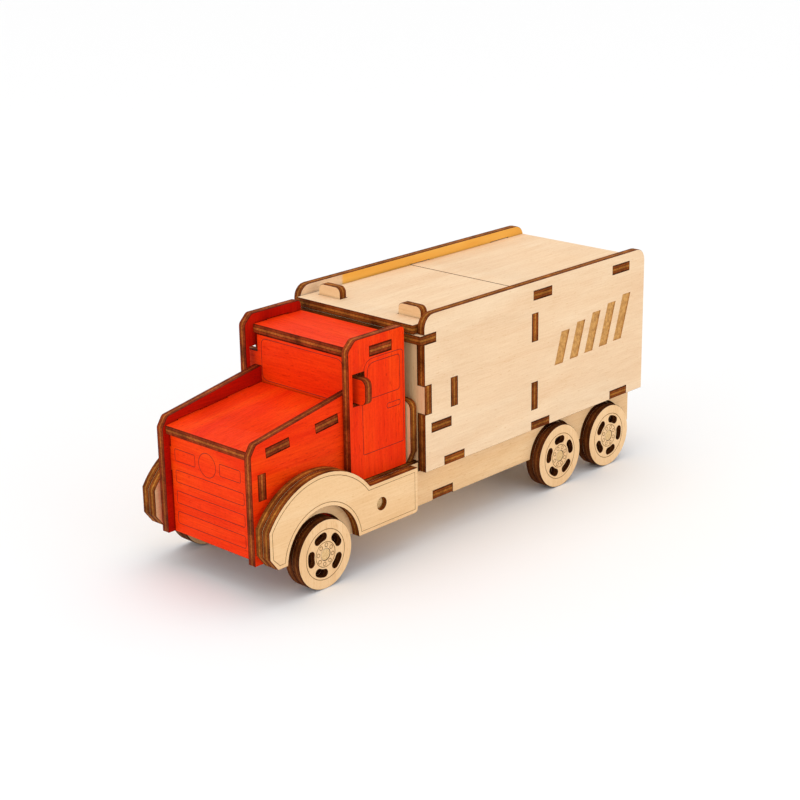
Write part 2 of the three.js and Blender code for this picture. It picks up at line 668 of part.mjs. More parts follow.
function hoodTop() {
  const slope = THREE.MathUtils.degToRad(HOOD_TOP_SLOPE);
  const start = HOOD_FRONT_X + HOOD_TOP_INSET;
  const length = (HOOD_REAR_X - start) / Math.cos(slope) - PLY * Math.tan(slope);
  const tenons = hoodTabStarts().map((s) => [s, s + TAB]);
  const outline = tenonOutline(0, length, HOOD_INNER - GAP, HOOD_FACE, tenons);
  const mesh = new THREE.Mesh(extrude(outline, PLY), redStain);
  mesh.name = 'hood_top';
  mesh.rotation.y = -slope;
  const corner = onHoodTop(0, PLY);
  mesh.position.set(corner.x, 0, corner.y);
  return mesh;
}

function grille() {
  const high = hoodTopZ(GRILLE_X) - PLY / Math.cos(THREE.MathUtils.degToRad(HOOD_TOP_SLOPE)) - GAP;
  const tab = HOOD_Z + GRILLE_TAB_LOW;
  const tenons = [[tab, tab + GRILLE_TAB_HEIGHT]];
  const outline = tenonOutline(HOOD_Z, high, HOOD_INNER - GAP, HOOD_FACE, tenons);
  return crossPlate('grille', swapAxes(outline), [], GRILLE_X, redStain);
}

// ---------- wheels ----------
// A kidney-shaped hole between the spokes, round the wheel's centre.
function spokeHole(middle) {
  const steps = 10;
  return Array.from({ length: steps }, (_, i) => {
    const t = (2 * Math.PI * i) / steps;
    const radius = SPOKE_HOLE_RING_R + SPOKE_HOLE_HALF_WIDTH * Math.sin(t);
    const angle = THREE.MathUtils.degToRad(middle + SPOKE_HOLE_HALF_ANGLE * Math.cos(t));
    return v(radius * Math.cos(angle), radius * Math.sin(angle));
  });
}

// One axle with a wheel at each end, and each wheel made of two discs. turned is how far the
// wheels have rolled, in degrees, so that no two axles show their spokes alike.
function axleSet(name, x, turned) {
  const group = new THREE.Group();
  group.position.set(x, 0, AXLE_Z);
  const axle = new THREE.CylinderGeometry(DOWEL_R, DOWEL_R, 2 * WHEEL_FACE, 24);
  const axleMesh = new THREE.Mesh(axle, dowelWood);
  axleMesh.name = `${name}_axle`;
  group.add(axleMesh);

  const outline = circle(0, 0, WHEEL_R, 40);
  const spokeHoles = Array.from({ length: SPOKE_HOLES }, (_, i) => {
    return spokeHole(turned + (360 / SPOKE_HOLES) * i);
  });
  const holes = [circle(0, 0, DOWEL_R + FIT, 20), ...spokeHoles];
  const faces = { outer: WHEEL_FACE, inner: WHEEL_FACE - PLY - DISC_GAP };
  for (const [side, sign] of Object.entries(SIDES)) {
    for (const [disc, face] of Object.entries(faces)) {
      const y = sign < 0 ? -face : face - PLY;
      group.add(sidePlate(`${name}_wheel_${side}_${disc}`, outline, holes, y, birch));
    }
  }
  return group;
}

// ---------- assembly ----------
const truck = new THREE.Group();
truck.add(
  ...chassisSides(),
  chassisFloor(),
  ...bearingPlates(),
  ...fenders(),
  tieDowel(),
  ...boxSides(),
  ...boxLevels(),
  ...boxWalls(),
  ...lidPieces(),
  ...cabSides(),
  cabRoof(),
  windshield(),
  cabFloor(),
  bulkhead(),
  ...hoodSides(),
  hoodTop(),
  grille(),
  axleSet('front', FRONT_AXLE_X, 36),
  axleSet('middle', MIDDLE_AXLE_X, 20),
  axleSet('rear', REAR_AXLE_X, 67),
);

// The origin goes midway between the fenders' front edge and the box's rear edge.
truck.position.x = -(FENDER_FRONT_X + BOX_LENGTH) / 2;

export default truck;
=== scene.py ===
# %% [markdown]
# # A truck cut from plywood
# A laser cuts every flat piece of this model from one thin sheet of birch plywood, and the pieces
# lock together with tenons. What makes it look real is therefore simple: pale faces with a fine
# grain, dark burnt edges with the plies showing, and thin burnt lines drawn on the faces.
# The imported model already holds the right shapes, so this script starts from it.

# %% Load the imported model
import json
import math

import bmesh
import bpy
from mathutils import Euler, Matrix, Vector


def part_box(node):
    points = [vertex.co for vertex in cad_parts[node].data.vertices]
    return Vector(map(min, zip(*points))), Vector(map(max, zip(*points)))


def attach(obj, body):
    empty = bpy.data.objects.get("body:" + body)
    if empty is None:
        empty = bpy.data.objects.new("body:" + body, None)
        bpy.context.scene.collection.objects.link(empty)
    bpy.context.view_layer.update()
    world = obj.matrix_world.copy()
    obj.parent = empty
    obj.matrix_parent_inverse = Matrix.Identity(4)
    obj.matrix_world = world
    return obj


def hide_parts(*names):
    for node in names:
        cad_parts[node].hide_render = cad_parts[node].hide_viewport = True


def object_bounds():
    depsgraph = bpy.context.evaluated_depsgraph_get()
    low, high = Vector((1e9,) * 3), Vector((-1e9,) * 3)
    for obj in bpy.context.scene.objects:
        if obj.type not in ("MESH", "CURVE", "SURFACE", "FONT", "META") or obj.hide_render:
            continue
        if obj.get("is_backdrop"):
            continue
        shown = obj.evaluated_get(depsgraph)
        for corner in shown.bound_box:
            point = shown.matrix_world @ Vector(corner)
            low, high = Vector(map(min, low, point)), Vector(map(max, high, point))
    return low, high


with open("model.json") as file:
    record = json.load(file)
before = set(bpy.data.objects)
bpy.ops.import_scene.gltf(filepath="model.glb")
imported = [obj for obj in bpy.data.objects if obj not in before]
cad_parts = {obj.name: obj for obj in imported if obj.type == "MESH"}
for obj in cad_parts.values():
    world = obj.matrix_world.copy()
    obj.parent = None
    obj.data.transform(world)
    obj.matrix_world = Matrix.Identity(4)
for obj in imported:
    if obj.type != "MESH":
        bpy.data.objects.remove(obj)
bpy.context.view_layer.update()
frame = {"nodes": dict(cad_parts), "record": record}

MM = 0.001
PLY = 3 * MM
ALONG, ACROSS, UP = (1, 0, 0), (0, 1, 0), (0, 0, 1)  # the three ways that a sheet can face
bodies = frame["record"]["behaviour"]["bodies"]
body_of = {node: body for body, nodes in bodies.items() for node in nodes}

# %% [markdown]
# ## Camera
# The camera looks down at the front left corner through a long lens, which keeps the box's edges
# nearly parallel. A Track To constraint could aim it, but three angles and a place say exactly
# where it stands, also when a piece is moved.

# %% Camera
YAW, PITCH, ROLL = 46.445, 18.578, -0.927  # degrees
CAMERA_PLACE = (-430.72, -405.29, 236.13)  # mm
FOCAL_LENGTH, SENSOR_WIDTH = 81.52, 36  # mm

lens = bpy.data.cameras.new("camera")
lens.lens = FOCAL_LENGTH
lens.sensor_width = SENSOR_WIDTH
camera = bpy.data.objects.new("camera", lens)
turn = Euler((math.radians(90 - PITCH), 0, math.radians(-YAW))).to_matrix()
camera.matrix_world = (
    Matrix.Translation(Vector(CAMERA_PLACE) * MM)
    @ (turn @ Matrix.Rotation(math.radians(ROLL), 3, "Z")).to_4x4()
)
bpy.context.scene.collection.objects.link(camera)
bpy.context.scene.camera = camera
bpy.context.scene.view_settings.view_transform = "Standard"
print("camera", round(Vector(CAMERA_PLACE).length), "mm from the truck's foot")

# %% [markdown]
# ## Floor
# The truck stands on white paper. A curved backdrop would hide the horizon in low views, but a flat
# sheet several metres wide is simpler, and it is enough from a camera that looks down.

# %% Floor
FLOOR_REACH = 6  # m
PAPER_WHITE = (0.9, 0.9, 0.9, 1)


def link(name, bm_or_mesh):
    """An object at the origin from a bmesh or a mesh."""
    mesh = bm_or_mesh
    if isinstance(bm_or_mesh, bmesh.types.BMesh):
        mesh = bpy.data.meshes.new(name)
        bm_or_mesh.to_mesh(mesh)
        bm_or_mesh.free()
    piece = bpy.data.objects.new(name, mesh)
    bpy.context.scene.collection.objects.link(piece)
    return piece


bm = bmesh.new()
bmesh.ops.create_grid(bm, x_segments=1, y_segments=1, size=FLOOR_REACH)
floor = link("floor", bm)
paper = bpy.data.materials.new("white_paper")
paper.use_nodes = True
paper_shader = paper.node_tree.nodes["Principled BSDF"]
paper_shader.inputs["Base Color"].default_value = PAPER_WHITE
paper_shader.inputs["Roughness"].default_value = 0.9
floor.data.materials.append(paper)
floor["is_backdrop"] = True
print("floor", [round(side, 1) for side in floor.dimensions[:2]], "m")

# %% [markdown]
# ## Light
# Pale wood needs even light. A bright sky fills every corner, a very wide sun overhead gives the
# flat faces their own brightness and the truck its soft shadow, and two soft boxes lift the left
# side and the front. Small hard lamps would burn out the birch and outline every tenon in shadow.

# %% Sky, sun and soft boxes
SKY_STRENGTH = 0.86
SUN_STRENGTH, SUN_WIDTH = 0.75, 55  # the width is an angle in degrees
SUN_TILT = (-5, 9, 0)  # degrees
SOFTBOX_SIZE, SOFTBOX_POWER = 0.8, 3.6  # m, W
TRUCK_MIDDLE = (0, 0, 0.035)

world = bpy.data.worlds.new("studio")
world.use_nodes = True
sky = world.node_tree.nodes["Background"]
sky.inputs["Color"].default_value = (1, 1, 1, 1)
sky.inputs["Strength"].default_value = SKY_STRENGTH
bpy.context.scene.world = world

sun = bpy.data.lights.new("lamp_above", "SUN")
sun.energy = SUN_STRENGTH
sun.angle = math.radians(SUN_WIDTH)
above = bpy.data.objects.new("lamp_above", sun)
above.rotation_euler = [math.radians(angle) for angle in SUN_TILT]
bpy.context.scene.collection.objects.link(above)

for name, place in (("lamp_left", (0.1, -1.5, 0.32)), ("lamp_front", (-1.5, 0.1, 0.35))):
    light = bpy.data.lights.new(name, "AREA")
    light.size = SOFTBOX_SIZE
    light.energy = SOFTBOX_POWER
    lamp = bpy.data.objects.new(name, light)
    lamp.location = place
    aim = Vector(TRUCK_MIDDLE) - lamp.location
    lamp.rotation_euler = aim.to_track_quat("-Z", "Y").to_euler()
    bpy.context.scene.collection.objects.link(lamp)
print("lamps", len(bpy.data.lights))

# %% [markdown]
# ## Finishes
# The truck has bare birch in a paler and a warmer tone, birch stained red, the laser's burnt edges
# and lines, and sanded dowels. Image textures would tie each finish to one size of piece. Noise
# that is stretched along one direction makes a grain for any piece, and it stays put when a piece
# moves, because it reads Object coordinates. These helpers wire up the nodes.

# %% Helpers for node trees
WHITE = (1, 1, 1)


def new_finish(name):
    """A new material, its node tree and its shader."""
    finish = bpy.data.materials.new(name)
    finish.use_nodes = True
    return finish, finish.node_tree, finish.node_tree.nodes["Principled BSDF"]


def stretched_noise(tree, scale, detail, roughness, distortion=0.0):
    """Noise on Object coordinates, with one scale for each axis, in features per metre."""
    place = tree.nodes.new("ShaderNodeTexCoord")
    mapping = tree.nodes.new("ShaderNodeMapping")
    mapping.inputs["Scale"].default_value = scale
    noise = tree.nodes.new("ShaderNodeTexNoise")
    noise.inputs["Scale"].default_value = 1.0
    noise.inputs["Detail"].default_value = detail
    noise.inputs["Roughness"].default_value = roughness
    noise.inputs["Distortion"].default_value = distortion
    tree.links.new(place.outputs["Object"], mapping.inputs["Vector"])
    tree.links.new(mapping.outputs["Vector"], noise.inputs["Vector"])
    return noise.outputs["Fac"]


def even_noise(tree, scale, detail, roughness=0.6):
    """Noise of one scale in every direction."""
    return stretched_noise(tree, (scale, scale, scale), detail, roughness)


def ramp(tree, source, stops):
    """A colour ramp: each stop is a position and a colour."""
    node = tree.nodes.new("ShaderNodeValToRGB")
    elements = node.color_ramp.elements
    while len(elements) < len(stops):
        elements.new(0.5)
    for element, (position, colour) in zip(elements, stops):
        element.position = position
        element.color = (*colour, 1)
    tree.links.new(source, node.inputs["Fac"])
    return node.outputs["Color"]


def blend_colours(tree, mode, amount, a, b):
    """Blends colour b over colour a. The amount is a number or a socket."""
    node = tree.nodes.new("ShaderNodeMix")
    node.data_type = "RGBA"
    node.blend_type = mode
    if isinstance(amount, (int, float)):
        node.inputs["Factor"].default_value = amount
    else:
        tree.links.new(amount, node.inputs["Factor"])
    tree.links.new(a, node.inputs["A"])
    tree.links.new(b, node.inputs["B"])
    return node.outputs["Result"]


def darken(tree, colour, source, stops):
    """Multiplies a colour by a ramp of the source."""
    return blend_colours(tree, "MULTIPLY", 1.0, colour, ramp(tree, source, stops))


def to_range(tree, source, low, high, new_low, new_high):
    """Moves values from one range to another, and holds them at its ends."""
    node = tree.nodes.new("ShaderNodeMapRange")
    node.inputs["From Min"].default_value = low
    node.inputs["From Max"].default_value = high
    node.inputs["To Min"].default_value = new_low
    node.inputs["To Max"].default_value = new_high
    tree.links.new(source, node.inputs["Value"])
    return node.outputs["Result"]


def sum_or_product(tree, operation, a, b):
    """Two values added or multiplied."""
    node = tree.nodes.new("ShaderNodeMath")
    node.operation = operation
    tree.links.new(a, node.inputs[0])
    tree.links.new(b, node.inputs[1])
    return node.outputs["Value"]


def add_bump(tree, shader, height, strength, distance):
    """Makes the surface look raised where the height is large."""
    node = tree.nodes.new("ShaderNodeBump")
    node.inputs["Strength"].default_value = strength
    node.inputs["Distance"].default_value = distance
    tree.links.new(height, node.inputs["Height"])
    tree.links.new(node.outputs["Normal"], shader.inputs["Normal"])


print("node helpers ready in Blender", bpy.app.version_string)

# %% [markdown]
# ### The strip of painted light
# The inner face of the right-hand box side is golden above the roof, behind the finger grips. This is
# painted light: a golden glow for the light reflected onto the face there. That could be a separate
# thin piece, but it is only a colour, so a mask finds the place: three ranges, one for each
# direction, are multiplied, and the result is 1 on the strip and 0 elsewhere.

# %% Mask for the strip of painted light
STRIP_FRONT = (-0.0045, -0.0035)  # m along the truck, where the strip fades in
STRIP_BACK = (0.0280, 0.0284)  # m across it, inside the sheet, where it fades out
STRIP_FOOT = (0.0742, 0.0748)  # m up, level with the roof


def painted_light_band(tree):
    """1 on the inner part of the right-hand sheet, above the roof and behind the grips."""
    place = tree.nodes.new("ShaderNodeTexCoord")
    split = tree.nodes.new("ShaderNodeSeparateXYZ")
    tree.links.new(place.outputs["Object"], split.inputs["Vector"])
    behind = to_range(tree, split.outputs["X"], *STRIP_FRONT, 0, 1)
    inside = to_range(tree, split.outputs["Y"], *STRIP_BACK, 1, 0)
    proud = to_range(tree, split.outputs["Z"], *STRIP_FOOT, 0, 1)
    return sum_or_product(tree, "MULTIPLY", sum_or_product(tree, "MULTIPLY", behind, inside), proud)


print("golden strip above", round(STRIP_FOOT[0] / MM, 1), "mm")

# %% [markdown]
# ### The sheet's faces
# Birch veneer shows broad pale waves, fine lines, short dark flecks and fibres. Four layers of
# noise make them, and three of those run along the grain. The stained sheets are the same wood
# with more contrast, because stain soaks deeper into the open pores than into the hard grain.

# %% Veneer
def along(axis, lengthwise, across):
    """Noise scales for grain that runs along an axis."""
    return [lengthwise if name == axis else across for name in "XYZ"]


def veneer(name, axis, waves, line_tone, fleck_tone, gloss, bump, sheen, band=None):
    """A face with its grain along an axis. The tones tint the lines and flecks."""
    finish, tree, shader = new_finish(name)
    broad = stretched_noise(tree, along(axis, 14, 110), 4, 0.55, 0.6)
    lines = stretched_noise(tree, along(axis, 90, 2200), 3, 0.6)
    flecks = stretched_noise(tree, along(axis, 420, 3200), 1, 0.5)
    fibres = even_noise(tree, 1500, 2)
    fibre_tone = tuple((1 + tone) / 2 for tone in line_tone)
    colour = ramp(tree, broad, waves)
    colour = darken(tree, colour, lines, [(0.3, line_tone), (0.62, WHITE)])
    colour = darken(tree, colour, flecks, [(0.25, fleck_tone), (0.36, WHITE)])
    colour = darken(tree, colour, fibres, [(0.3, fibre_tone), (0.6, WHITE)])
    # The band mixes in painted light, a golden glow, where the mask is 1.
    if band:
        colour = blend_colours(tree, "MIX", painted_light_band(tree), colour, ramp(tree, broad, band))
    tree.links.new(colour, shader.inputs["Base Color"])
    tree.links.new(to_range(tree, lines, 0.3, 0.7, *gloss), shader.inputs["Roughness"])
    shader.inputs["Specular IOR Level"].default_value = sheen
    add_bump(tree, shader, sum_or_product(tree, "ADD", lines, fibres), bump, 0.08 * MM)
    return finish


def veneers(name, axes, waves, surface):
    """The same finish with its grain along each of some axes."""
    return {axis: veneer(f"{name}_grain_{axis}", axis, waves, **surface) for axis in axes}


print("scales of the broad waves along X", along("X", 14, 110))

# %% Bare birch, in two tones and with the golden strip
BARE = {
    "line_tone": (0.93, 0.89, 0.84),
    "fleck_tone": (0.88, 0.79, 0.68),
    "gloss": (0.72, 0.58),
    "bump": 0.25,
    "sheen": 0.2,
}
BIRCH = [
    (0.30, (0.83, 0.570, 0.350)),
    (0.50, (0.87, 0.630, 0.405)),
    (0.70, (0.90, 0.680, 0.455)),
]
WARM_BIRCH = [
    (0.30, (0.82, 0.520, 0.260)),
    (0.50, (0.87, 0.580, 0.310)),
    (0.70, (0.90, 0.630, 0.360)),
]
# Painted light: golden tones for the light reflected onto the strip.
PAINTED_LIGHT_TONES = [
    (0.30, (0.80, 0.36, 0.045)),
    (0.50, (0.90, 0.46, 0.075)),
    (0.70, (0.93, 0.54, 0.120)),
]
birch = veneers("birch", "XYZ", BIRCH, BARE)
warm_birch = veneers("warm_birch", "XYZ", WARM_BIRCH, BARE)
painted_light_birch = veneer("birch_with_painted_light", "X", BIRCH, **BARE, band=PAINTED_LIGHT_TONES)
print("bare finishes", len(birch) + len(warm_birch) + 1)

# %% Red stain, and a deeper red of painted shade for inner faces
STAINED = {
    "line_tone": (0.86, 0.70, 0.62),
    "fleck_tone": (0.72, 0.50, 0.40),
    "gloss": (0.62, 0.46),
    "bump": 0.5,
    "sheen": 0.05,
}
# The surface of the deeper red that paints shade on inner faces.
STAINED_IN_SHADE = {
    "line_tone": (0.82, 0.66, 0.6),
    "fleck_tone": (0.7, 0.5, 0.4),
    "gloss": (0.7, 0.55),
    "bump": 0.5,
    "sheen": 0.05,
}
RED = [
    (0.30, (0.84, 0.027, 0.0012)),
    (0.50, (0.94, 0.047, 0.0018)),
    (0.70, (0.98, 0.076, 0.0028)),
]
# Painted shade: a darker red for the inner faces, which stand in shade.
SHADED_RED_TONES = [
    (0.30, (0.40, 0.006, 0.0008)),
    (0.50, (0.50, 0.009, 0.0010)),
    (0.70, (0.58, 0.014, 0.0014)),
]
red = veneers("red_stain", "XYZ", RED, STAINED)
painted_shade_red = veneers("painted_shade_red", "XZ", SHADED_RED_TONES, STAINED_IN_SHADE)
print("stained finishes", len(red) + len(painted_shade_red))

# %% [markdown]
# ### Burnt edges
# The laser chars the cut edge and leaves the plies visible: dark corners, two browner outer plies,
# two dark glue lines and a middle ply whose grain runs the other way. Stripes could be painted on
# a UV map, but every plate would need one. Each piece instead carries, as an attribute, how deep
# in the sheet a point lies, from 0 on one face to 1 on the other, and the ramp reads that.

# %% Charred ply edge
def charred_edge(name, dark, brown, gold):
    """A burnt edge from the tones of its char, its outer plies and its middle ply."""
    finish, tree, shader = new_finish(name)
    depth = tree.nodes.new("ShaderNodeAttribute")
    depth.attribute_name = "sheet_depth"
    plies = [
        (0.00, dark),
        (0.14, brown),
        (0.30, brown),
        (0.345, dark),
        (0.39, gold),
        (0.61, gold),
        (0.655, dark),
        (0.70, brown),
        (0.86, brown),
        (1.00, dark),
    ]
    colour = ramp(tree, depth.outputs["Fac"], plies)
    soot = even_noise(tree, 140, 4)
    streaks = even_noise(tree, 1400, 3)
    colour = darken(tree, colour, soot, [(0.35, (0.42, 0.36, 0.32)), (0.62, WHITE)])
    colour = darken(tree, colour, streaks, [(0.35, (0.6, 0.55, 0.5)), (0.6, WHITE)])
    tree.links.new(colour, shader.inputs["Base Color"])
    tree.links.new(to_range(tree, streaks, 0.3, 0.7, 0.85, 0.65), shader.inputs["Roughness"])
    shader.inputs["Specular IOR Level"].default_value = 0.06
    add_bump(tree, shader, streaks, 0.5, 0.12 * MM)
    return finish


birch_edge = charred_edge(
    "charred_birch_edge", (0.085, 0.017, 0.003), (0.34, 0.082, 0.010), (0.54, 0.20, 0.030)
)
red_edge = charred_edge(
    "charred_red_edge", (0.085, 0.010, 0.002), (0.36, 0.050, 0.009), (0.54, 0.14, 0.024)
)
# Burnt edge for the wheels, made darker still: painted shade for rims and holes that lie in shadow.
shaded_rim_edge = charred_edge(
    "charred_rim_with_painted_shade", (0.045, 0.010, 0.002), (0.15, 0.036, 0.006), (0.24, 0.075, 0.014)
)
EDGE_OF = {"birch_ply": birch_edge, "red_stained_ply": red_edge}
print("burnt edges for", ", ".join(EDGE_OF), "and the wheels")

# %% [markdown]
# ### Scorched lines
# On low power the laser only browns the wood. The walls of a groove are too small to show plies,
# so they take one uneven brown, darker in the fine lines and paler in the broad stripes.

# %% Lines and stripes drawn by the laser
def scorched(name, deep, light):
    """Browned wood that varies between two tones."""
    finish, tree, shader = new_finish(name)
    grain = even_noise(tree, 900, 3)
    tree.links.new(ramp(tree, grain, [(0.35, deep), (0.65, light)]), shader.inputs["Base Color"])
    shader.inputs["Roughness"].default_value = 0.85
    add_bump(tree, shader, grain, 0.4, 0.1 * MM)
    return finish


birch_line = scorched("scorched_line_on_birch", (0.20, 0.095, 0.022), (0.38, 0.20, 0.06))
red_line = scorched("scorched_line_on_red", (0.22, 0.010, 0.004), (0.34, 0.018, 0.006))
stripe_scorch = scorched("scorched_stripe", (0.44, 0.20, 0.045), (0.66, 0.34, 0.090))
print("materials so far", len(bpy.data.materials))

# %% [markdown]
# ## Sheet pieces
# Each CAD plate is copied, its loose triangles are merged and its flat regions joined, and every
# cut edge gets a tiny chamfer. The chamfer takes the burnt finish, so each piece has the fine dark
# outline that the laser leaves. Rebuilding the outlines by hand would only risk a bad fit.

# %% Copy a plate and chamfer its rims
CHAMFER = 0.16 * MM
WELD = 0.005 * MM  # points closer than this are one point
FACE, EDGE, BACK = 0, 1, 2  # a sheet's material slots


def chamfer_rims(bm, **limits):
    """Chamfers every edge between a face and a cut edge."""
    rims = [e for e in bm.edges if len({f.material_index for f in e.link_faces}) == 2]
    bmesh.ops.bevel(
        bm, geom=rims, offset=CHAMFER, segments=1, profile=0.5, affect="EDGES",
        material=EDGE, **limits,
    )


def sheet_blank(node, normal):
    """A merged copy of a CAD plate, with its faces and its cut edges in their slots."""
    bm = bmesh.new()
    bm.from_mesh(frame["nodes"][node].data)
    bmesh.ops.remove_doubles(bm, verts=bm.verts, dist=WELD)
    bmesh.ops.dissolve_limit(bm, angle_limit=math.radians(1), verts=bm.verts, edges=bm.edges)
    bmesh.ops.recalc_face_normals(bm, faces=bm.faces)
    for face in bm.faces:
        face.material_index = FACE if abs(face.normal.dot(normal)) > 0.9 else EDGE
    chamfer_rims(bm, clamp_overlap=True)
    return bm


print("chamfer", round(CHAMFER / MM, 2), "mm")

# %% Cut grooves, store the depth and hand the piece over
CORNER_ANGLE = 30  # degrees: a sharper bend stays a corner


def cut(piece, cutter):
    """Takes the cutter out of the piece; the new walls keep the cutter's material."""
    step = piece.modifiers.new("cut", "BOOLEAN")
    step.operation = "DIFFERENCE"
    step.solver = "EXACT"
    step.material_mode = "TRANSFER"
    step.object = cutter
    bpy.context.view_layer.update()
    depsgraph = bpy.context.evaluated_depsgraph_get()
    made = bpy.data.meshes.new_from_object(piece.evaluated_get(depsgraph))
    piece.modifiers.clear()
    old = piece.data
    piece.data = made
    bpy.data.meshes.remove(old)
    bpy.data.objects.remove(cutter)


def finish_mesh(piece, normal, low):
    """Stores the depth in the sheet, and smooths what isn't a real corner."""
    mesh = piece.data
    depth = mesh.attributes.new("sheet_depth", "FLOAT", "POINT")
    for vertex, value in zip(mesh.vertices, depth.data):
        value.value = (vertex.co.dot(normal) - low) / PLY
    mesh.shade_smooth()
    mesh.set_sharp_from_angle(angle=math.radians(CORNER_ANGLE))


def carry_on(piece, node):
    """The piece stands for a CAD node and moves with its body."""
    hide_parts(node)
    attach(piece, body_of[node])


def sheet_piece(node, normal, face, slot, cutters=(), back=None):
    """A plate with its finishes. The back is a direction and the finish of that face."""
    normal = Vector(normal)
    finishes = [face, EDGE_OF[slot]]
    bm = sheet_blank(node, normal)
    if back:
        direction, back_finish = back
        finishes.append(back_finish)
        for part in bm.faces:
            if part.material_index == FACE and part.normal.dot(Vector(direction)) > 0.9:
                part.material_index = BACK
    piece = link(node + "_piece", bm)
    for finish in finishes:
        piece.data.materials.append(finish)
    for cutter in cutters:
        cut(piece, cutter)
    low = min(v.co.dot(normal) for v in piece.data.vertices)
    finish_mesh(piece, normal, low)
    carry_on(piece, node)
    return piece


def outer_face(node, side):
    """How far across the truck a piece's outer face lies. The left side is at negative Y."""
    low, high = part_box(node)
    return low.y if side == "left" else high.y


SIDES = ("left", "right")
print("box sides' outer faces", [round(outer_face("box_side_" + s, s) / MM, 2) for s in SIDES])

# %% [markdown]
# ## Engraving
# A laser on low power draws a shallow dark groove. The groove's cutter is a thin tube laid along
# the line, half in the wood, and a Boolean takes it out of the piece. A dark line in the material
# would be quicker, but a tube follows any curve, catches the light, and ends up in the mesh.

# %% Groove cutters
LINE_RADIUS = 0.13 * MM


def groove(name, lines, normal, surface, material, radius=LINE_RADIUS):
    """Tubes along lines of points in mm. Each line is (points, closed)."""
    curve = bpy.data.curves.new(name, "CURVE")
    curve.dimensions = "3D"
    curve.bevel_depth = radius
    curve.bevel_resolution = 1
    curve.use_fill_caps = True
    for points, closed in lines:
        spline = curve.splines.new("POLY")
        spline.points.add(len(points) - 1)
        spline.use_cyclic_u = closed
        for target, (a, b) in zip(spline.points, points):
            if normal == ACROSS:
                target.co = (a * MM, surface, b * MM, 1)
            else:
                target.co = (surface, a * MM, b * MM, 1)
    wire = bpy.data.objects.new(name, curve)
    bpy.context.scene.collection.objects.link(wire)
    bpy.context.view_layer.update()
    depsgraph = bpy.context.evaluated_depsgraph_get()
    mesh = bpy.data.meshes.new_from_object(wire.evaluated_get(depsgraph))
    bpy.data.objects.remove(wire)
    bm = bmesh.new()
    bm.from_mesh(mesh)
    bmesh.ops.remove_doubles(bm, verts=bm.verts, dist=0.001 * MM)
    bmesh.ops.recalc_face_normals(bm, faces=bm.faces)
    bm.to_mesh(mesh)
    bm.free()
    mesh.materials.clear()
    mesh.materials.append(material)
    return link(name, mesh)


print("groove width", round(2 * LINE_RADIUS / MM, 2), "mm")

# %% Outlines for the grooves, in mm
CORNER_STEPS = 5


def arc(x, y, radius, start, end, steps):
    """Points along an arc, with angles in degrees."""
    return [
        (
            x + radius * math.cos(math.radians(start + (end - start) * i / steps)),
            y + radius * math.sin(math.radians(start + (end - start) * i / steps)),
        )
        for i in range(steps + 1)
    ]


def ring(x, y, radius, steps=32):
    """A circle as a closed line."""
    return (arc(x, y, radius, 0, 360, steps)[:-1], True)


def rounded(corners):
    """A closed line with rounded corners: each corner is (x, y, radius)."""
    points = []
    for i, (x, y, radius) in enumerate(corners):
        here = Vector((x, y))
        back = (Vector(corners[i - 1][:2]) - here).normalized()
        ahead = (Vector(corners[(i + 1) % len(corners)][:2]) - here).normalized()
        for k in range(CORNER_STEPS + 1):
            t = k / CORNER_STEPS
            start, end = here + back * radius, here + ahead * radius
            points.append(tuple(start * (1 - t) ** 2 + here * 2 * t * (1 - t) + end * t**2))
    return (points, True)


def frame_line(x0, y0, x1, y1, radius):
    """A rectangle with rounded corners."""
    return rounded([(x0, y0, radius), (x1, y0, radius), (x1, y1, radius), (x0, y1, radius)])


print("points in a rounded frame", len(frame_line(0, 0, 10, 5, 1)[0]))

# %% [markdown]
# ## Box sides
# The two sides carry the box: every wall and floor has its tenons in them. Each is marked with
# five slanted stripes, which the laser clears as shallow fields and not as lines. A sheared block
# is the simplest cutter for one, and it leaves a flat floor that a tube wouldn't.

# %% Slanted stripes and the box sides
STRIPES = 5
STRIPE_WIDTH, STRIPE_THICKNESS = 4.6, 0.7  # mm; half of the thickness is in the wood
STRIPE_HEIGHT, STRIPE_GROWTH = 11.5, 1.2  # mm; each stripe is a little taller than the last
STRIPE_SLANT = 0.32
STRIPE_START, STRIPE_STEP = (46.5, 51.5), (8.6, 0.9)  # mm along and up


def stripes(name, face_y):
    """Cutters for slanted bars in the side of the box, each a sheared block."""
    bm = bmesh.new()
    for i in range(STRIPES):
        height = STRIPE_HEIGHT + STRIPE_GROWTH * i
        x, z = (start + step * i for start, step in zip(STRIPE_START, STRIPE_STEP))
        block = bmesh.ops.create_cube(bm, size=1)["verts"]
        size = (STRIPE_WIDTH * MM, STRIPE_THICKNESS * MM, height * MM)
        bmesh.ops.scale(bm, vec=size, verts=block)
        for vertex in block:
            vertex.co.x += vertex.co.z * STRIPE_SLANT
        bmesh.ops.translate(bm, vec=(x * MM, face_y, z * MM), verts=block)
    piece = link(name, bm)
    piece.data.materials.append(stripe_scorch)
    return piece


# The right-hand side's face carries the strip of painted light.
for side, face in (("left", birch["X"]), ("right", painted_light_birch)):
    node = "box_side_" + side
    marks = stripes("stripes_" + side, outer_face(node, side))
    piece = sheet_piece(node, ACROSS, face, "birch_ply", [marks])
    print(node, len(piece.data.polygons), "faces")

# %% [markdown]
# ## Floors, roof and walls
# These plates are plain, so a table of the way each faces and its grain is all they need. The grain
# runs along the truck on floors and roof and upwards on the cross walls, as a maker would lay them
# on the sheet. The front wall, the bulkhead, the cab's and chassis's floors and the grips are warmer.

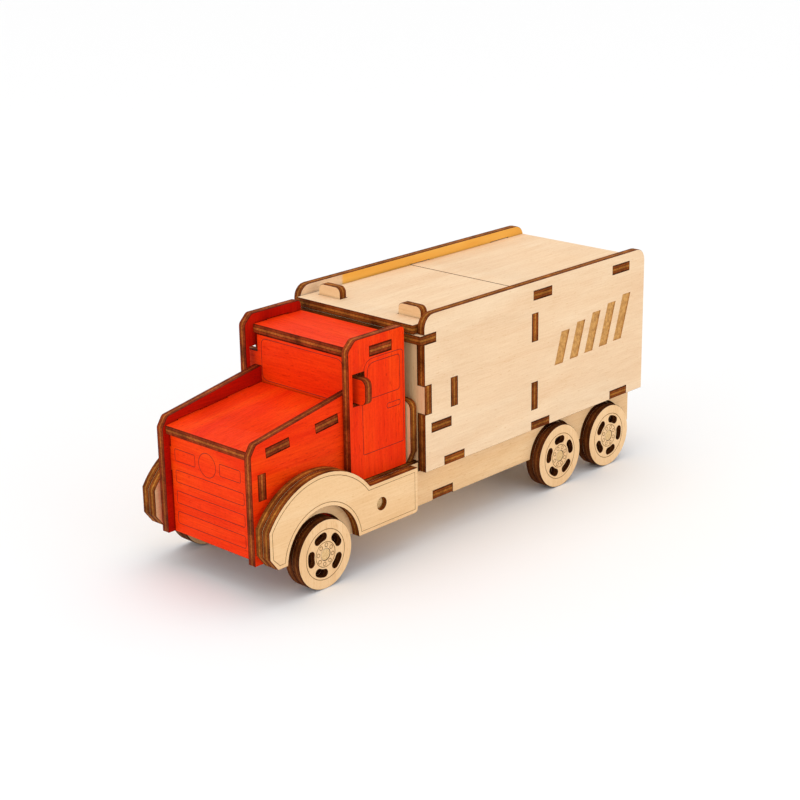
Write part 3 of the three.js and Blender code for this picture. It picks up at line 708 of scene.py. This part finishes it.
# %% Floors, roof, walls and bar
PLAIN_PLATES = [
    ("box_floor", UP, birch["X"]),
    ("rear_roof", UP, birch["X"]),
    ("roof_lid", UP, birch["X"]),
    ("front_tie_bar", UP, birch["Y"]),
    ("chamber_shelf", UP, birch["Y"]),
    ("chassis_floor", UP, warm_birch["X"]),
    ("cab_floor", UP, warm_birch["X"]),
    ("box_front_wall", ALONG, warm_birch["Z"]),
    ("chamber_wall", ALONG, birch["Z"]),
    ("middle_wall", ALONG, birch["Z"]),
    ("box_rear_wall", ALONG, birch["Z"]),
    ("bulkhead", ALONG, warm_birch["Z"]),
    ("lid_key_plate", ALONG, warm_birch["Y"]),
]
for node, normal, face in PLAIN_PLATES:
    sheet_piece(node, normal, face, "birch_ply")
print("plain plates", len(PLAIN_PLATES))

# %% [markdown]
# ## Chassis and fenders
# The fender is a second layer in front of the chassis side, so its arch shows a step. A thin line
# follows its outline a little way in from the edge. Insetting the mesh would give that line too,
# but it would break at the small tenon notches, so it is built from the fender's own circles.

# %% Fender lines
LINE_INSET = 1.3  # mm from the fender's edge to the line
FENDER_RADIUS, ARCH_RADIUS = 26.6, 15.5  # mm, both about the front axle
BOARD_TOP = 28  # mm, the top edge of the running board
NOSE_HEIGHT, NOSE_LENGTH = 3.9, 2.6  # mm, the cut corner at the fender's front foot
ARC_FRONT = 148  # degrees, where the round top ends at the front
ARC_STEPS = 26


def fender_border(side):
    """A closed line inside the fender's outline."""
    low, high = (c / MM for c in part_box("fender_" + side))
    axle_low, axle_high = (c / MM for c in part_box("front_axle"))
    x, z = (axle_low.x + axle_high.x) / 2, (axle_low.z + axle_high.z) / 2
    outer, inner = FENDER_RADIUS - LINE_INSET, ARCH_RADIUS + LINE_INSET
    top, foot = BOARD_TOP - LINE_INSET, low.z + LINE_INSET
    front, rear = low.x + LINE_INSET, high.x - LINE_INSET
    arc_rear = math.degrees(math.asin((top - z) / outer))
    arch_rear = math.degrees(math.asin((foot - z) / inner))
    points = [(rear, foot), (rear, top)]
    points += arc(x, z, outer, arc_rear, ARC_FRONT, ARC_STEPS)
    points += [(front, low.z + NOSE_HEIGHT), (front + NOSE_LENGTH, foot)]
    points += arc(x, z, inner, 180 - arch_rear, arch_rear, ARC_STEPS)
    return (points, True)


for side in SIDES:
    node = "fender_" + side
    border = [fender_border(side)]
    line = groove("line_" + node, border, ACROSS, outer_face(node, side), birch_line)
    sheet_piece(node, ACROSS, warm_birch["X"], "birch_ply", [line])
    for name in ("chassis_side_", "bearing_plate_"):
        sheet_piece(name + side, ACROSS, warm_birch["X"], "birch_ply")
    print(node, "line of", len(border[0][0]), "points")

# %% [markdown]
# ## Cab and hood sides
# The cab side carries the most drawing: the door, its window and its handle. Each is a handful of
# corners, measured forwards from the plate's rear edge and up from just below its foot, so they
# move with the plate. The sides' inner faces take painted shade, a deeper red, which is a third
# material slot.

# %% Door lines, cab sides and hood sides
DATUM_DROP = 3.2  # mm from the cab side's foot down to where the heights are measured from
DOOR = [
    (19.6, 11.6, 0.6), (19.6, 28.5, 2.0), (18.5, 42.8, 4.2), (0.9, 42.8, 1.6), (0.9, 11.6, 0.6),
]
WINDOW = [(17.2, 29.6, 1.6), (17.2, 41.4, 3.4), (2.4, 41.4, 1.4), (2.4, 29.6, 1.4)]
HANDLE = [(8.5, 24.4, 0.8), (2.4, 24.4, 0.8), (2.4, 26.1, 0.8), (8.5, 26.1, 0.8)]


def door_lines(side):
    """The door, window and handle of one cab side."""
    low, high = (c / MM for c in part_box("cab_side_" + side))
    rear, datum = high.x, low.z - DATUM_DROP
    return [
        rounded([(rear - forward, datum + up, radius) for forward, up, radius in corners])
        for corners in (DOOR, WINDOW, HANDLE)
    ]


for side, inward in (("left", (0, 1, 0)), ("right", (0, -1, 0))):
    cab, hood = "cab_side_" + side, "hood_side_" + side
    face_y = outer_face(cab, side)
    lines = groove("lines_door_" + side, door_lines(side), ACROSS, face_y, red_line)
    # The inner faces of the cab and hood sides take the red with painted shade.
    inner = (inward, painted_shade_red["Z"])
    sheet_piece(cab, ACROSS, red["Z"], "red_stained_ply", [lines], inner)
    sheet_piece(hood, ACROSS, red["X"], "red_stained_ply", (), (inward, painted_shade_red["X"]))
    print(cab, "and", hood, "face", round(face_y / MM, 1), "mm across")

# %% [markdown]
# ## Cab front and roofs
# The windshield has one frame line, and the grille has three slats, two vents and a ring. The lines
# are few, so they are listed as sizes. The hood's top lies on a slope, so its faces are told from
# its edges by a tilted direction.

# %% Windshield and roofs
HOOD_SLOPE = math.radians(6)

front_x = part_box("windshield")[0].x
pane = frame_line(-18.8, 53.2, 18.8, 67.4, 2.6)
line = groove("line_windshield", [pane], ALONG, front_x, red_line)
sheet_piece("windshield", ALONG, red["Y"], "red_stained_ply", [line])
sheet_piece("cab_roof", UP, red["Y"], "red_stained_ply")
hood_normal = (-math.sin(HOOD_SLOPE), 0, math.cos(HOOD_SLOPE))
sheet_piece("hood_top", hood_normal, red["X"], "red_stained_ply")
print("windshield at", round(front_x / MM, 1), "mm")

# %% Grille
MIDDLE = 1.5  # mm across, the middle of the drawing
SLAT_FEET, SLAT_HEIGHT = (15.2, 22.2, 29.3), 4.1
SLAT_ENDS = (-15.2, 16.9)
VENT_NEAR, VENT_FAR = 5.8, 15.4  # mm from the middle

slats = [
    frame_line(SLAT_ENDS[0], foot, SLAT_ENDS[1], foot + SLAT_HEIGHT, 0.9) for foot in SLAT_FEET
]
vents = [
    frame_line(MIDDLE + VENT_NEAR, 36.5, MIDDLE + VENT_FAR, 40.5, 0.6),
    frame_line(MIDDLE - VENT_FAR, 36.5, MIDDLE - VENT_NEAR, 40.5, 0.6),
]
drawing = slats + vents + [ring(MIDDLE, 38.5, 4.0)]
lines = groove("lines_grille", drawing, ALONG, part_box("grille")[0].x, red_line)
sheet_piece("grille", ALONG, red["Y"], "red_stained_ply", [lines])
print("grille lines", len(drawing))

# %% [markdown]
# ## Wheels
# A wheel is two discs on a dowel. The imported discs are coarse, so these are made again: a round
# plate with a fine rim, five kidney-shaped holes and, on the outer disc, two rings and a circle
# of bolts. A kidney is awkward to place by hand, so its outline is spun from one point: round the
# hub, round one end, back round the hub and round the other end.

# %% Round plates and their holes
KIDNEY_REACH, KIDNEY_HALF_WIDTH = 6.15 * MM, 1.4 * MM
KIDNEY_HALF_ANGLE = 12.8  # degrees
LONG_STEPS, END_STEPS = 8, 10


def turned_plate(bm, radius, y0, y1, segments):
    """A flat round plate about the Y axis."""
    made = bmesh.ops.create_cone(
        bm, cap_ends=True, cap_tris=False, segments=segments,
        radius1=radius, radius2=radius, depth=abs(y1 - y0),
    )["verts"]
    upright = Matrix.Rotation(math.radians(90), 3, "X")
    bmesh.ops.rotate(bm, cent=(0, 0, 0), matrix=upright, verts=made)
    bmesh.ops.translate(bm, vec=(0, (y0 + y1) / 2, 0), verts=made)
    return made


def kidney(bm, middle, y0, y1):
    """A hole cutter between the spokes: its outline is four arcs, each spun from the last point."""
    hub, axis = Vector((0, y0, 0)), Vector((0, -1, 0))

    def at(angle, radius):
        return hub + Matrix.Rotation(math.radians(angle), 3, axis) @ Vector((radius, 0, 0))

    last = bm.verts.new(at(middle - KIDNEY_HALF_ANGLE, KIDNEY_REACH + KIDNEY_HALF_WIDTH))
    for centre, angle, steps in (
        (hub, 2 * KIDNEY_HALF_ANGLE, LONG_STEPS),
        (at(middle + KIDNEY_HALF_ANGLE, KIDNEY_REACH), 180, END_STEPS),
        (hub, -2 * KIDNEY_HALF_ANGLE, LONG_STEPS),
        (at(middle - KIDNEY_HALF_ANGLE, KIDNEY_REACH), 180, END_STEPS),
    ):
        spun = bmesh.ops.spin(
            bm, geom=[last], cent=centre, axis=axis, angle=math.radians(angle), steps=steps
        )
        last = [g for g in spun["geom_last"] if isinstance(g, bmesh.types.BMVert)][0]
    bmesh.ops.remove_doubles(bm, verts=bm.verts, dist=0.001 * MM)
    loop = [e for e in bm.edges if e.is_wire]
    face = bmesh.ops.contextual_create(bm, geom=loop)["faces"][0]
    raised = bmesh.ops.extrude_face_region(bm, geom=[face])["geom"]
    verts = [g for g in raised if isinstance(g, bmesh.types.BMVert)]
    bmesh.ops.translate(bm, vec=(0, y1 - y0, 0), verts=verts)


print("kidney", round(2 * KIDNEY_HALF_WIDTH / MM, 1), "mm wide")

# %% Wheels
BORE_RADIUS = 2.12 * MM
KIDNEYS, BOLTS = 5, 8
BOLT_REACH, BOLT_RADIUS = 3.1, 0.62  # mm
RINGS = [(8.3, 64), (4.15, 40)]  # mm and points
TURNED = {"front": 36, "middle": 20, "rear": 67}  # degrees that each axle has rolled on


def wheel_face_lines(turned):
    """The rings and bolts drawn on an outer disc."""
    drawn = [ring(0, 0, radius, steps) for radius, steps in RINGS]
    for i in range(BOLTS):
        angle = math.radians(360 // BOLTS * i + turned)
        x, z = BOLT_REACH * math.cos(angle), BOLT_REACH * math.sin(angle)
        drawn.append(ring(x, z, BOLT_RADIUS, 12))
    return drawn


def wheel_disc(set_name, side, disc, turned):
    """One disc of a wheel, made about the Y axis and then moved to its axle."""
    node = f"{set_name}_wheel_{side}_{disc}"
    low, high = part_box(node)
    hub = Vector(((low.x + high.x) / 2, 0, (low.z + high.z) / 2))
    bm = bmesh.new()
    turned_plate(bm, (high.x - low.x) / 2, low.y, high.y, 96)
    for face in bm.faces:
        face.material_index = FACE if abs(face.normal.y) > 0.9 else EDGE
    chamfer_rims(bm)
    piece = link(f"{set_name}_disc_{side}_{disc}", bm)
    piece.data.materials.append(warm_birch["Z"])
    # The rim takes the burnt edge darkened with painted shade.
    piece.data.materials.append(shaded_rim_edge)

    bm = bmesh.new()
    turned_plate(bm, BORE_RADIUS, low.y - MM, high.y + MM, 40)
    for i in range(KIDNEYS):
        kidney(bm, turned + 360 // KIDNEYS * i, low.y - MM, high.y + MM)
    bmesh.ops.recalc_face_normals(bm, faces=bm.faces)
    cutter = link("holes", bm)
    # The holes' walls take the same burnt edge with painted shade.
    cutter.data.materials.append(shaded_rim_edge)
    cut(piece, cutter)

    if disc == "outer":
        lines = wheel_face_lines(turned)
        surface = outer_face(node, side)
        cut(piece, groove("rings", lines, ACROSS, surface, birch_line, 0.14 * MM))
    piece.data.transform(Matrix.Translation(hub))
    finish_mesh(piece, Vector(ACROSS), low.y)
    carry_on(piece, node)


for set_name, turned in TURNED.items():
    for side in SIDES:
        for disc in ("outer", "inner"):
            wheel_disc(set_name, side, disc, turned)
print("wheels", len(TURNED) * len(SIDES))

# %% [markdown]
# ## Dowels
# The axles and the tie through the fenders are sanded hardwood rods. Their sides show straight
# grain and their ends show open pores, so the two get different finishes. A rod is a plain round
# plate drawn long, and the eased rim is what stops it looking like a stock cylinder.

# %% Dowel finishes
def rod_finish():
    """Straight grain along the rod."""
    finish, tree, shader = new_finish("sanded_dowel")
    grain = stretched_noise(tree, along("Y", 60, 2600), 3, 0.6)
    colour = ramp(tree, grain, [(0.3, (0.62, 0.42, 0.22)), (0.65, (0.80, 0.60, 0.37))])
    tree.links.new(colour, shader.inputs["Base Color"])
    tree.links.new(to_range(tree, grain, 0.3, 0.7, 0.7, 0.5), shader.inputs["Roughness"])
    add_bump(tree, shader, grain, 0.3, 0.1 * MM)
    return finish


def rod_end_finish():
    """Open pores on the sawn end."""
    finish, tree, shader = new_finish("dowel_end_grain")
    pores = even_noise(tree, 2400, 2)
    colour = ramp(tree, pores, [(0.3, (0.52, 0.30, 0.11)), (0.6, (0.80, 0.55, 0.27))])
    tree.links.new(colour, shader.inputs["Base Color"])
    shader.inputs["Roughness"].default_value = 0.8
    shader.inputs["Specular IOR Level"].default_value = 0.2
    add_bump(tree, shader, pores, 0.5, 0.1 * MM)
    return finish


dowel_side, dowel_end = rod_finish(), rod_end_finish()
print("materials in all", len(bpy.data.materials))

# %% Dowels with eased ends
EASED_RIM = 0.3 * MM
ROD_CORNER_ANGLE = 40  # degrees


def dowel(node):
    """A rod with rounded rims, where the CAD dowel is."""
    low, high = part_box(node)
    centre = (low + high) / 2
    bm = bmesh.new()
    turned_plate(bm, (high.z - low.z) / 2, low.y, high.y, 48)
    for face in bm.faces:
        face.material_index = 1 if abs(face.normal.y) > 0.9 else 0
    rims = [e for e in bm.edges if len({f.material_index for f in e.link_faces}) == 2]
    bmesh.ops.bevel(
        bm, geom=rims, offset=EASED_RIM, segments=3, profile=0.5, affect="EDGES", material=-1
    )
    bmesh.ops.translate(bm, vec=(centre.x, 0, centre.z), verts=bm.verts)
    piece = link(node + "_rod", bm)
    piece.data.materials.append(dowel_side)
    piece.data.materials.append(dowel_end)
    piece.data.shade_smooth()
    piece.data.set_sharp_from_angle(angle=math.radians(ROD_CORNER_ANGLE))
    carry_on(piece, node)
    print(node, round((high.y - low.y) / MM, 1), "mm long")


for node in ("front_axle", "middle_axle", "rear_axle", "tie_dowel"):
    dowel(node)

# %% [markdown]
# ## Size
# The looks must not change the truck's size. This cell prints the size of the finished truck.

# %% Print the truck's size
low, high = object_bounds()
print("size in mm", [round(side / MM, 1) for side in high - low])
